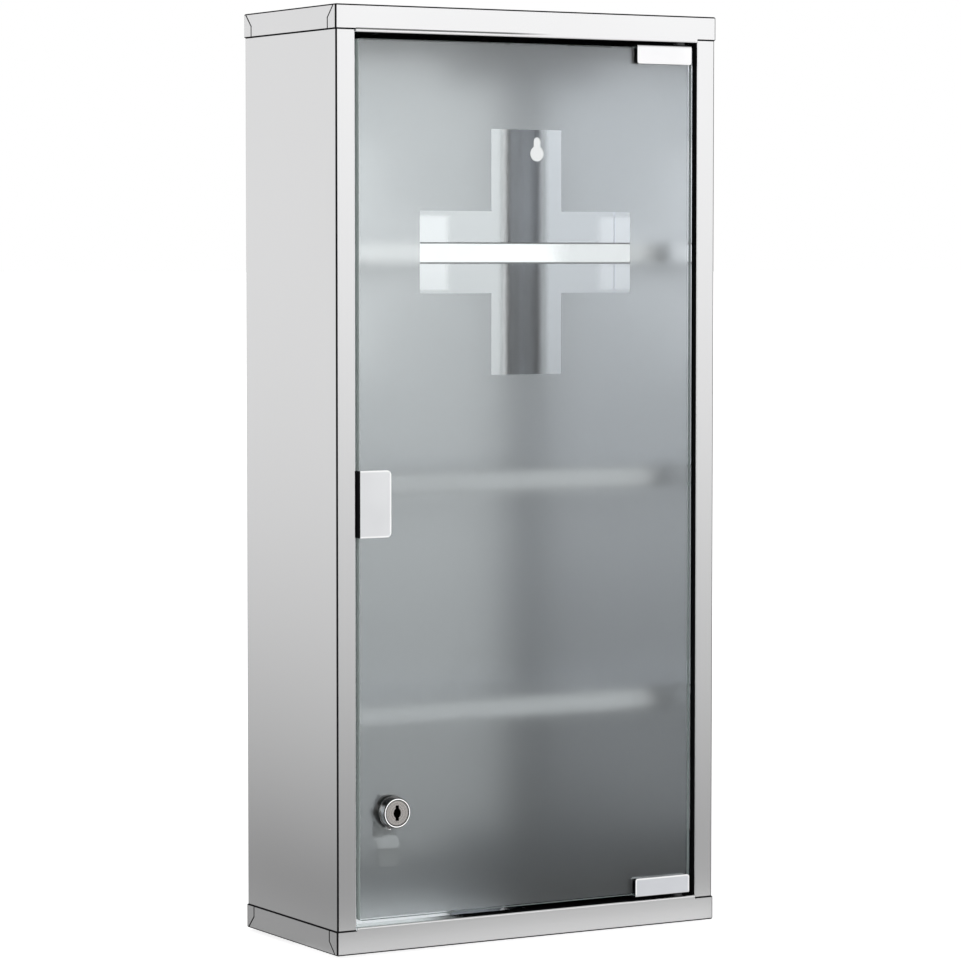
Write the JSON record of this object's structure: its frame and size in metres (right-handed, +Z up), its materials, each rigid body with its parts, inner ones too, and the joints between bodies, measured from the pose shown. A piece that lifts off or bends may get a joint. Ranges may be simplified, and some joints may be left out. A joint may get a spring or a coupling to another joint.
{
  "type": "lockable medicine cabinet",
  "caption": "Lockable wall cabinet for medicines: folded steel case with end caps and shelves, frosted glass door with a clear cross, pivot hinges, clip handle, magnetic catch and cam lock.",
  "frame": {"origin": "centre of the underside, on the bottom cap's lower face", "axes": "+Z up, +Y towards the wall behind the cabinet, +X to the right as seen from the front"},
  "size_m": [0.284, 0.1335, 0.6],
  "materials": {
    "satin_steel": "satin outside, mirror polished inside",
    "polished_steel": "polished",
    "chrome_lock": "bright",
    "plug_metal": "satin",
    "zinc_plate": "zinc plated",
    "white_nylon": "matte",
    "black_nylon": "matte",
    "ferrite": "matte",
    "foam_tape": "matte",
    "clear_glass": "clear with green edges",
    "frost": "frosted",
    "black_rubber": "matte"
  },
  "bodies": {
    "cabinet": {"body_shell": "satin_steel", "top_cap": "satin_steel", "bottom_cap": "satin_steel", "lower_shelf": "satin_steel", "middle_shelf": "satin_steel", "upper_shelf": "satin_steel", "upper_pivot_bush": "black_nylon", "lower_pivot_bush": "black_nylon", "catch_housing": "white_nylon", "catch_magnet": "ferrite", "catch_pole_plates": "zinc_plate", "catch_tape": "foam_tape"},
    "door": {"glass_pane": "clear_glass", "frost_film": "frost", "handle_clip": "polished_steel", "handle_pads": "black_rubber", "handle_screws": "zinc_plate", "upper_hinge_clip": "polished_steel", "lower_hinge_clip": "polished_steel", "hinge_pads": "black_rubber", "hinge_screws": "zinc_plate", "upper_pivot_pin": "polished_steel", "lower_pivot_pin": "polished_steel", "lock_housing": "chrome_lock", "lock_collar": "chrome_lock", "lock_washer": "black_rubber", "lock_nut": "chrome_lock"},
    "lock_cylinder": {"lock_plug": "plug_metal", "cam_stop_washer": "zinc_plate", "lock_cam": "zinc_plate", "cam_screw": "zinc_plate"}
  },
  "joints": [
    {"name": "door_pivot", "type": "hinge", "parent": "cabinet", "child": "door", "pos_m": [0.116, -0.0594, 0.0194], "axis": [0, 0, 1], "range_deg": [0, 130]},
    {"name": "lock_turn", "type": "hinge", "parent": "door", "child": "lock_cylinder", "pos_m": [-0.1015, -0.0632, 0.0893], "axis": [0, 1, 0], "range_deg": [0, 90]}
  ]
}
